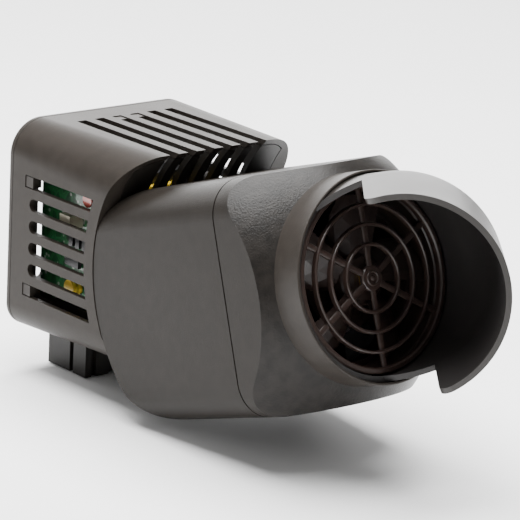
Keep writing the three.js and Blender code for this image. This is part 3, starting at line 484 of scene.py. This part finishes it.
def box_rings(rings):
    """The solid through the housing's outlines at each [inset, y], from front to rear."""
    verts, faces = [], []
    for inset, y in rings:
        verts += [(x, y, z) for x, z in box_section(inset, y)]
    count = len(verts) // len(rings)
    for k in range(len(rings) - 1):
        low, high = k * count, (k + 1) * count
        faces += [(low + i, low + (i + 1) % count, high + (i + 1) % count, high + i)
                  for i in range(count)]
    faces += [tuple(range(count))[::-1], tuple(range(len(verts) - count, len(verts)))]
    return mesh_from(verts, faces)


def box_block(inset, y0, y1):
    return box_rings([(inset, y0), (inset, y1)])


def about_axle(radius, half_width=50):
    return bar("x", radius, -half_width, half_width, PIVOT_Y, PIVOT_Z, 256)


def vent_xs():
    return [(i - (VENT_COUNT - 1) / 2) * VENT_PITCH for i in range(VENT_COUNT)]


def louvre_zs():
    return [LOUVRE_FIRST_Z - i * LOUVRE_PITCH for i in range(LOUVRE_COUNT)]


def vent_cutters(y0, y1, z0, z1):
    half = VENT_WIDTH / 2
    return [box(x - half, x + half, y0, y1, z0, z1) for x in vent_xs()]


def louvre_cutters():
    """Through both sides: the first and last louvre end square for a latch, the others round."""
    half = LOUVRE_HEIGHT / 2
    cutters = []
    for i, z in enumerate(louvre_zs()):
        if i in (0, LOUVRE_COUNT - 1):
            rear = [(LATCH_REAR, z - half), (LATCH_REAR, z + half)]
        else:
            rear = arc(LOUVRE_REAR - half, z, half, -90, 90, 20)
        outline = [(0, z - half)] + rear + [(0, z + half)]
        cutters.append(cut(prism(outline, "x", -50, 50), about_axle(LOUVRE_FRONT_RADIUS, 60)))
    return cutters


def vented_housing():
    """A shell that is open at the rear, scooped in front, with a window for the scoop panel."""
    rear = BOX_REAR - COVER_DEPTH
    body = cut(box_block(0, -20, rear), about_axle(SCOOP_RADIUS))
    behind_scoop = cut(box_block(WALL, -20, rear + 1), about_axle(SCOOP_RADIUS + SCOOP_WALL))
    window = keep(box_block(WALL, -20, 30.5),
                  box(-SCOOP_HALF_WIDTH, SCOOP_HALF_WIDTH, -30, 30, -90, 10))
    cut(body, behind_scoop, window, *vent_cutters(-10, VENT_REAR, -6, 6), *louvre_cutters())
    finished(body, "housing_skin", HOUSING, "housing", ["vented_housing"],
             LOOKS["housing"], 0.45)


def scoop_panel():
    """The curved wall in the housing's window, with the top vents running on down its face."""
    half = SCOOP_HALF_WIDTH - GAP
    panel = cut(about_axle(SCOOP_RADIUS + SCOOP_WALL, half), about_axle(SCOOP_RADIUS, half + 1))
    keep(panel, box_block(WALL + GAP, -20, 40))
    keep(panel, box(-half, half, -10, 40, -80, 5))
    vent_foot = PIVOT_Z + SCOOP_RADIUS * math.sin(math.radians(14))
    lead_hole = box(-3.5, 3.5, 0, 30, PIVOT_Z - 2.6, PIVOT_Z + 2.6)
    cut(panel, *vent_cutters(-10, 40, vent_foot, 5), lead_hole)
    finished(panel, "scoop_skin", HOUSING, "housing", ["scoop_panel"],
             LOOKS["dark"], 0.4)


def rear_vents():
    half = VENT_WIDTH / 2
    cutters = []
    for i in range(REAR_VENT_COUNT):
        x = (i - (REAR_VENT_COUNT - 1) / 2) * VENT_PITCH
        outline = (arc(x, REAR_VENT_BOTTOM + half, half, 180, 360, 20)
                   + arc(x, REAR_VENT_TOP - half, half, 0, 180, 20))
        cutters.append(prism(outline, "y", 60, 80))
    return cutters


def latches():
    """Snap arms with pads that fill the ends of four louvres and two top vents."""
    arm, reach, tip = 1.4, 62, 1.6
    outside = HALF_WIDTH + FLARE_SIDE * LOUVRE_REAR / BOX_REAR
    wall_inside = outside - WALL - GAP
    pieces = []
    for z in (louvre_zs()[0], louvre_zs()[-1]):
        low, high = z - LATCH_HALF, z + LATCH_HALF
        for side in (-1, 1):
            arm_xs = sorted((side * wall_inside, side * (wall_inside - arm)))
            pad_xs = sorted((side * (outside - 3.4), side * (outside - 0.2)))
            pieces.append(box(*arm_xs, LATCH_FRONT, reach, low, high))
            pieces.append(box(*pad_xs, LATCH_FRONT, LATCH_REAR - GAP, low, high))
    top = BOX_TOP - WALL - GAP - 0.1
    for x in vent_xs()[2:4]:
        pieces.append(box(x - tip, x + tip, 50, reach, top - arm, top))
        pieces.append(box(x - tip, x + tip, 50, VENT_REAR - GAP, top - arm, BOX_TOP - 0.3))
    return pieces


def rear_cover():
    """A pillowed lid, its outline repeated at a quarter-round of insets, with a snap skirt."""
    front = BOX_REAR - COVER_DEPTH + GAP
    rings = [(0.25, front), (0.0, front + 0.25)]
    steps = 6
    for i in range(steps + 1):
        a = math.radians(90 * i / steps)
        rings.append((COVER_SOFTNESS * (1 - math.cos(a)),
                      BOX_REAR - COVER_SOFTNESS * (1 - math.sin(a))))
    lid = box_rings(rings)
    skirt = cut(box_block(WALL + GAP, 61, front + 1),
                box_block(WALL + GAP + SKIRT_DEPTH, 60, front + 0.5))
    join(lid, skirt, *latches())
    cut(lid, *rear_vents())
    finished(lid, "rear_cover_skin", HOUSING, "housing", ["rear_cover"],
             LOOKS["cover"], 0.0)


def dock_connector():
    """The plug block: keyed flanks and front, a notch, four contact slots and two screw holes."""
    top = 1 - BOX_HEIGHT
    below, above = DOCK_BOTTOM - 1, top + 1
    body = cut(box(-DOCK_HALF_WIDTH, DOCK_HALF_WIDTH, DOCK_FRONT, DOCK_REAR, DOCK_BOTTOM, top),
               box_block(-GAP, -20, 80))
    cutters = []
    for side in (-1, 1):
        flank = side * DOCK_HALF_WIDTH
        cutters.append(box(flank - 1.6, flank + 1.6, 51, 53.2, below, above))
        for x in (side * 18.5, side * 10.5):
            cutters.append(box(x - 1, x + 1, DOCK_FRONT - 1, DOCK_FRONT + 1.4, below, above))
    cutters.append(box(-9.5, 9.5, DOCK_FRONT - 1, DOCK_FRONT + 2, below, DOCK_BOTTOM + 3))
    cutters += [box(x - 1.6, x + 1.6, 49, 61, below, DOCK_BOTTOM + 9) for x in (-14, -7, 7, 14)]
    cutters += [bar("z", 1.6, -84, above, x, 58, 24) for x in (-17, 17)]
    cut(body, *cutters)
    finished(body, "dock_skin", HOUSING, "housing", ["dock_connector"],
             LOOKS["dark"], 0.4)


# ---------- head ----------
def head_section(inset):
    half = HALF_WIDTH - inset
    radius = HEAD_CORNER - inset
    return rounded_section(-half, half, HEAD_BOTTOM + inset, HEAD_TOP - inset, radius, radius)


def head_profile(inset):
    """Side outline as (up, forward): flat top and bottom, blended into a round back."""
    radius = HEAD_REAR - inset
    edges = []
    for face, full_blend in ((HEAD_TOP, TOP_BLEND), (-HEAD_BOTTOM, BOTTOM_BLEND)):
        height, blend = face - inset, full_blend - inset
        up = height - blend
        back = math.sqrt((radius - blend) ** 2 - up ** 2)
        edges.append((height, blend, up, back, math.degrees(math.atan2(-back, up))))
    top, top_blend, top_up, top_back, top_angle = edges[0]
    low, low_blend, low_up, low_back, low_angle = edges[1]
    return ([(-low, 90)] + arc(-low_up, -low_back, low_blend, -180, -180 - low_angle, 32)
            + arc(0, 0, radius, -180 - low_angle, top_angle, 72)
            + arc(top_up, -top_back, top_blend, top_angle, 0, 32) + [(top, 90)])


def head_block(inset, front):
    return keep(prism(head_section(inset), "z", -70, front),
                prism(head_profile(inset), "x", -60, 60))


def back_sector(x0, x1, low, high):
    """A cutter for the round back, between two angles that are measured up from straight back."""
    reach, floor_radius = 80, 44
    angles = [math.radians(a) for a in (low, (low + high) / 2, high)]
    corners = [(reach * math.sin(a), -reach * math.cos(a)) for a in angles]
    return cut(prism([(0, 0)] + corners, "x", x0, x1),
               bar("x", floor_radius, -50, 50, 0, 0, 96))


POSTS = [(x, y) for x in (-POST_X, POST_X) for y in (POST_BOTTOM, POST_TOP)]


def head_shell():
    """The head's rear shell with its ribs, screw posts, water intakes and bracket slot."""
    shell = cut(head_block(0, SEAM), head_block(WALL, SEAM + 1))
    ribs = [box(*sorted((side * 13.5, side * 16.5)), HEAD_BOTTOM + 1, HEAD_TOP - 1, -9, 8.5)
            for side in (-1, 1)]
    join(shell, *ribs, *[bar("z", POST_RADIUS, 2, SEAM - 2, x, y, 32) for x, y in POSTS])
    intakes = [back_sector(*sorted((side * x, side * (x + INTAKE_WIDTH))), -INTAKE_ARC, INTAKE_ARC)
               for side in (-1, 1) for x in INTAKE_XS]
    bores = [bar("z", SCREW_BORE, -10, SEAM + 1, x, y, 24) for x, y in POSTS]
    wells = [bar("z", SCREW_WELL, -60, -20, x, y, 32) for x, y in POSTS]
    gasket_step = prism(head_section(SEAM_LIP), "z", SEAM - SEAM_STEP, SEAM + 1)
    bracket_slot = back_sector(-12.4, 12.4, -28, 38)
    axle_hole = bar("x", AXLE_BORE, -20, 20, 0, 0, 32)
    cut(shell, *bores, *wells, *intakes, bracket_slot, axle_hole, gasket_step)
    finished(shell, "head_skin", HEAD, "head", ["head_shell"],
             LOOKS["head"], 0.3)


def dome(inset):
    """The ball that rounds the front cover, with a flat underside."""
    radius, rows = DOME_RADIUS - inset, 40
    angles = [math.radians(58) * i / rows for i in range(rows, 0, -1)]
    side = [(radius * math.sin(a), DOME_CENTRE + radius * math.cos(a)) for a in angles]
    return lathe([(0.0, 0.0), (side[0][0], 0.0)] + side + [(0.0, DOME_CENTRE + radius)], 192)


def front_cover():
    """The domed front with its collar, a seat for the hood's legs, and four screw posts."""
    skin = keep(prism(head_section(0), "z", SEAM + 2 * GAP, 70), dome(0))
    hollow = keep(prism(head_section(WALL), "z", SEAM - 1, 70), dome(WALL))
    cut(skin, hollow, bar("z", 34, 20, 60, 0, 0, 192))
    collar = lathe([
        (COLLAR_INNER, 38), (COLLAR_OUTER, 38), (COLLAR_OUTER, COLLAR_FRONT - 0.35),
        (COLLAR_OUTER - 0.12, COLLAR_FRONT - 0.1), (COLLAR_OUTER - 0.35, COLLAR_FRONT),
        (COLLAR_INNER + 0.35, COLLAR_FRONT), (COLLAR_INNER + 0.12, COLLAR_FRONT - 0.1),
        (COLLAR_INNER, COLLAR_FRONT - 0.35)], 192)
    posts = [keep(bar("z", POST_RADIUS, SEAM + 1.4, 31, x, y, 32), dome(WALL / 2))
             for x, y in POSTS]
    join(skin, collar, tube(33.4, COLLAR_OUTER, 38.4, 40.6, 192), *posts)
    cut(skin, *[bar("z", SCREW_BORE, SEAM, 27, x, y, 24) for x, y in POSTS],
        bar("z", COLLAR_INNER, 40.6, 70, 0, 0, 192))
    etch_and_shade_dome(finished(skin, "front_cover_skin", HEAD, "head", ["front_cover"],
                       LOOKS["head"], 0.3, 20))


def etch_and_shade_dome(cover):
    """The domed face is etched more coarsely than the flat sides and coloured darker, the darker
    colour being painted shade on the forward-facing dome; the collar is smoother.
    """
    cover.data.materials.append(LOOKS["etched_shaded"])
    cover.data.materials.append(LOOKS["cover"])
    back = (Matrix.Scale(MM, 4) @ HEAD).inverted()
    for face in cover.data.polygons:
        place = back @ face.center - Vector((0, 0, DOME_CENTRE))
        if abs(place.length - DOME_RADIUS) < 0.25:
            # the dome's faces take the coarse grain and the painted shade
            face.material_index = 1
        elif math.hypot(place.x, place.y) < COLLAR_OUTER + 0.2:
            face.material_index = 2


def flow_duct():
    """The liner round the propeller, flanged at its rear."""
    flange, bevel = 36.2, 0.4
    duct = lathe([
        (DUCT_INNER, DUCT_REAR), (flange, DUCT_REAR), (flange, DUCT_REAR + 2),
        (DUCT_OUTER, DUCT_REAR + 2), (DUCT_OUTER, DUCT_FRONT - bevel),
        (DUCT_OUTER - bevel, DUCT_FRONT), (DUCT_INNER + bevel, DUCT_FRONT),
        (DUCT_INNER, DUCT_FRONT - bevel)])
    finished(duct, "duct_skin", HEAD, "head", ["flow_duct"],
             LOOKS["interior"], 0)


def guard_grille():
    """Round-topped rings over lower spokes, moulded in one piece with the rim and a low boss."""
    crown, foot = GUARD_FRONT - 0.3, GUARD_REAR + 0.2
    rings = [lathe([(radius - RING_HALF, foot), (radius + RING_HALF, foot)]
                   + half_oval(radius, crown - RING_HALF, RING_HALF, RING_HALF))
             for radius in GUARD_RINGS]
    inner, bevel = GUARD_OUTER - 2.2, 0.5
    rim = lathe([
        (inner, GUARD_REAR), (GUARD_OUTER, GUARD_REAR), (GUARD_OUTER, GUARD_FRONT - bevel),
        (GUARD_OUTER - bevel, GUARD_FRONT), (inner + bevel, GUARD_FRONT),
        (inner, GUARD_FRONT - bevel)])
    low = GUARD_FRONT - 1
    boss = lathe([(0.0, GUARD_REAR), (GUARD_HUB, GUARD_REAR), (GUARD_HUB, low - 0.4),
                  (GUARD_HUB - 0.4, low)] + half_oval(2.3, low, 0.45, 0.5)
                 + [(1.0, low), (0.8, low + 0.5), (0.4, low + 0.75), (0.0, low + 0.8)], 64)
    section = ([(-SPOKE_HALF, GUARD_REAR + 0.3), (SPOKE_HALF, GUARD_REAR + 0.3)]
               + half_oval(0, crown - 1.35, SPOKE_HALF, 0.5))
    spoke = prism(section, "y", 2, GUARD_OUTER - 1)
    spokes = around(spoke, 6)
    bpy.data.objects.remove(spoke)
    join(rim, *rings, boss, *spokes)
    finished(rim, "guard_skin", HEAD, "head", ["guard_grille"],
             LOOKS["interior"], 0)


def half_elbow():
    """Half a tube's wall that turns about the ball centre and then runs on straight."""
    steps, turns, rows = 96, 28, 10
    outline = ([(HOOD_OUTER, -90 + 180 * i / steps) for i in range(steps + 1)]
               + [(HOOD_INNER, 90 - 180 * i / steps) for i in range(steps + 1)])
    sections = [(HOOD_BEND * k / turns, 0) for k in range(turns + 1)]
    sections += [(HOOD_BEND, HOOD_REACH * k / rows) for k in range(1, rows + 1)]
    verts, faces = [], []
    for turn, along in sections:
        lean = Matrix.Rotation(-math.radians(turn), 3, "Y")
        for radius, angle in outline:
            a = math.radians(angle)
            point = lean @ Vector((radius * math.cos(a), radius * math.sin(a), along))
            verts.append(point + Vector((0, 0, BALL_CENTRE)))
    count = len(outline)
    for k in range(len(sections) - 1):
        for i in range(count):
            a, b = k * count + i, k * count + (i + 1) % count
            faces.append((a, b, b + count, a + count))
    last = (len(sections) - 1) * count
    for i in range(steps):
        a, b, c, d = i, i + 1, count - 2 - i, count - 1 - i
        faces.append((a, d, c, b))
        faces.append((last + a, last + b, last + c, last + d))
    return mesh_from(verts, faces)


def snap_legs():
    """Three legs inside the ring with hooks that run behind the collar's seat."""
    leg_ring = join(tube(31.9, HOOD_INNER + 0.1, 36.4, 44), tube(32.5, 34.4, 36.4, 38.1))
    wedge = box(-4, 4, 0, 60, 30, 50)
    legs = [keep(copy_of(leg_ring), piece) for piece in around(wedge, 3, 30)]
    bpy.data.objects.remove(wedge)
    bpy.data.objects.remove(leg_ring)
    return legs


def discharge_hood():
    """A ring in the collar, cut on a slant where it is open, and the half elbow in front of it."""
    shoulder, corner_radius = 49.6, 4.6
    elbow = half_elbow()
    ring = tube(HOOD_INNER, HOOD_OUTER, HOOD_REAR, BALL_CENTRE, 192)
    ramp = turned(box(-120, 0, -60, 60, 0, 120), -HOOD_BEND, "Y", (0, 0, BALL_CENTRE))
    cut(ring, keep(ramp, box(-120, 120, -120, 120, shoulder, 200)))
    corner = cut(box(-1, corner_radius, -60, 60, HOOD_REACH - corner_radius, HOOD_REACH + 1),
                 bar("y", corner_radius, -61, 61, corner_radius, HOOD_REACH - corner_radius, 64))
    turned(corner, -HOOD_BEND, "Y", (0, 0, BALL_CENTRE))
    join(ring, elbow, *snap_legs())
    cut(ring, corner)
    darken_inside(finished(ring, "hood_skin", HOOD, "hood", ["discharge_hood"],
                           LOOKS["hood"], 0.5))


def darken_inside(hood):
    """The hood's inner wall and the ends of its ring get a near-black material: painted shade,
    since they are the hood's own plastic lying in shadow.
    """
    hood.data.materials.append(LOOKS["inside"])
    back = (Matrix.Scale(MM, 4) @ HOOD).inverted()
    bend = math.radians(HOOD_BEND)
    spout = Vector((-math.sin(bend), 0, math.cos(bend)))
    for face in hood.data.polygons:
        place = back @ face.center - Vector((0, 0, BALL_CENTRE))
        facing = (back.to_3x3() @ face.normal).normalized()
        along = place.dot(spout)
        if place.z < 0:
            outward = Vector((place.x, place.y, 0))
        else:
            outward = place - max(along, 0) * spout
        # faces on the inner wall, and ring ends facing forward, take the painted shade
        if facing.dot(outward.normalized()) < -0.6 or (place.z < 0 and facing.z > 0.3):
            face.material_index = 1


vented_housing()
scoop_panel()
rear_cover()
dock_connector()
head_shell()
front_cover()
flow_duct()
guard_grille()
discharge_hood()


# ---------- floor and light ----------
def floor():
    """A wide white floor just under the part."""
    m = Nodes("studio_floor", 0.9)
    m.link(m.ramp(m.noise(3, 2), [(0.3, (0.90, 0.90, 0.90)), (0.7, (0.93, 0.93, 0.93))]),
           m.shader.inputs["Base Color"])
    m.bump([(m.noise(60, 2), 0.05)], 0.0004)
    half = 12
    corners = [(-half, -half, 0), (half, -half, 0), (half, half, 0), (-half, half, 0)]
    obj = mesh_from(corners, [(0, 1, 2, 3)], "floor")
    obj.location.z = cad_box[0][2] - 0.0004
    obj.data.materials.append(m.material)


def softbox(name, place, target, size, power):
    data = bpy.data.lights.new(name, "AREA")
    data.shape = "RECTANGLE"
    data.size, data.size_y = size
    data.energy = power
    lamp = bpy.data.objects.new(name, data)
    lamp.location = place
    lamp.rotation_euler = (Vector(target) - Vector(place)).to_track_quat("-Z", "Y").to_euler()
    bpy.context.scene.collection.objects.link(lamp)


def studio():
    """White surroundings, a large light overhead, a low wide card behind and a weak fill."""
    world = bpy.data.worlds.new("studio")
    world.use_nodes = True
    background = world.node_tree.nodes["Background"]
    background.inputs["Color"].default_value = (1, 1, 1, 1)
    background.inputs["Strength"].default_value = 0.32
    bpy.context.scene.world = world
    middle = (0, -0.08, 0.05)
    softbox("overhead", (0.0, 0.0, 1.1), middle, (1.2, 0.9), 66)
    softbox("back_card", (0.62, 1.35, 0.5), middle, (2.5, 0.75), 34)
    softbox("left_fill", (-1.1, 0.1, 0.75), middle, (0.7, 0.7), 1.5)


floor()
studio()
